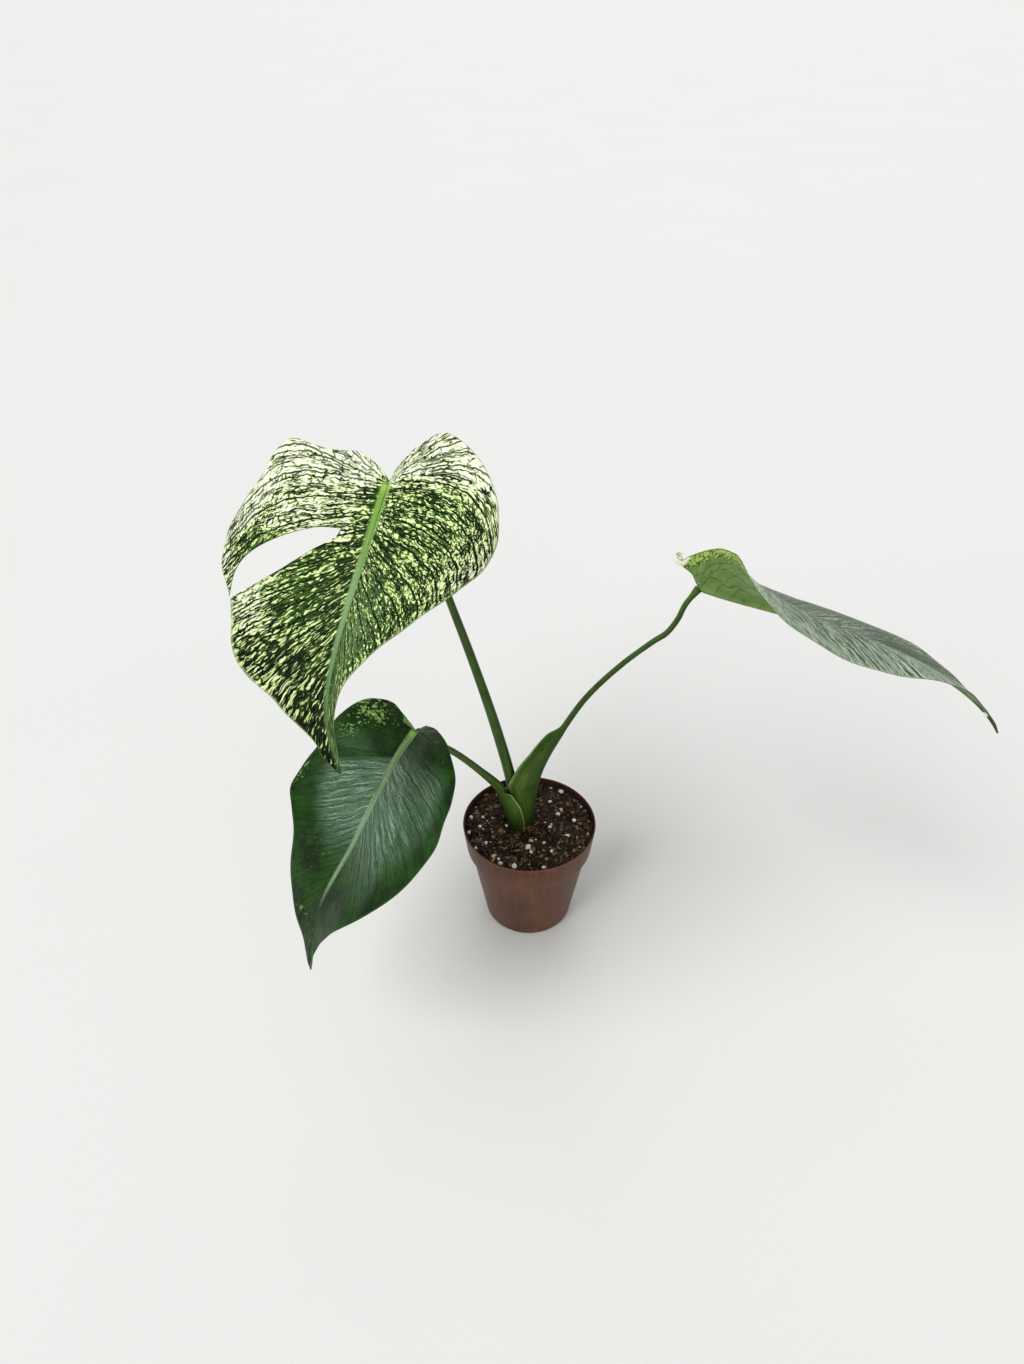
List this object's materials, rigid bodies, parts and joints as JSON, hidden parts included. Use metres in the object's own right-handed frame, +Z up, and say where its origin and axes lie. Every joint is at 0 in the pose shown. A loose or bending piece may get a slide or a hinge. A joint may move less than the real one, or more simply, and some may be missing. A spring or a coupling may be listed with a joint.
{
  "type": "potted monstera plant",
  "caption": "Young monstera with large heart-shaped leaves, speckled cream and dark green, on sheathed stalks in a round brown nursery pot of soil.",
  "frame": {"origin": "centre of the flat underside of the pot", "axes": "+Z up through the pot's centre; -Y is the front, from which the leaf faces show; +X is towards the leaf that is seen edge-on"},
  "size_m": [0.5011, 0.2179, 0.4179],
  "materials": {
    "pot_plastic": "satin",
    "potting_soil": "rough",
    "stem_skin": "matte",
    "stalk_skin": "satin",
    "speckled_leaf": "satin",
    "dark_leaf": "gloss",
    "pale_backed_leaf": "satin"
  },
  "bodies": {
    "root": {"pot": "pot_plastic", "soil": "potting_soil", "stem": "stem_skin", "leaf_stalk_1": "stalk_skin", "leaf_stalk_2": "stalk_skin", "leaf_stalk_3": "stalk_skin", "leaf_blade_1": "speckled_leaf", "leaf_blade_2": "dark_leaf", "leaf_blade_3": "pale_backed_leaf"}
  },
  "joints": []
}
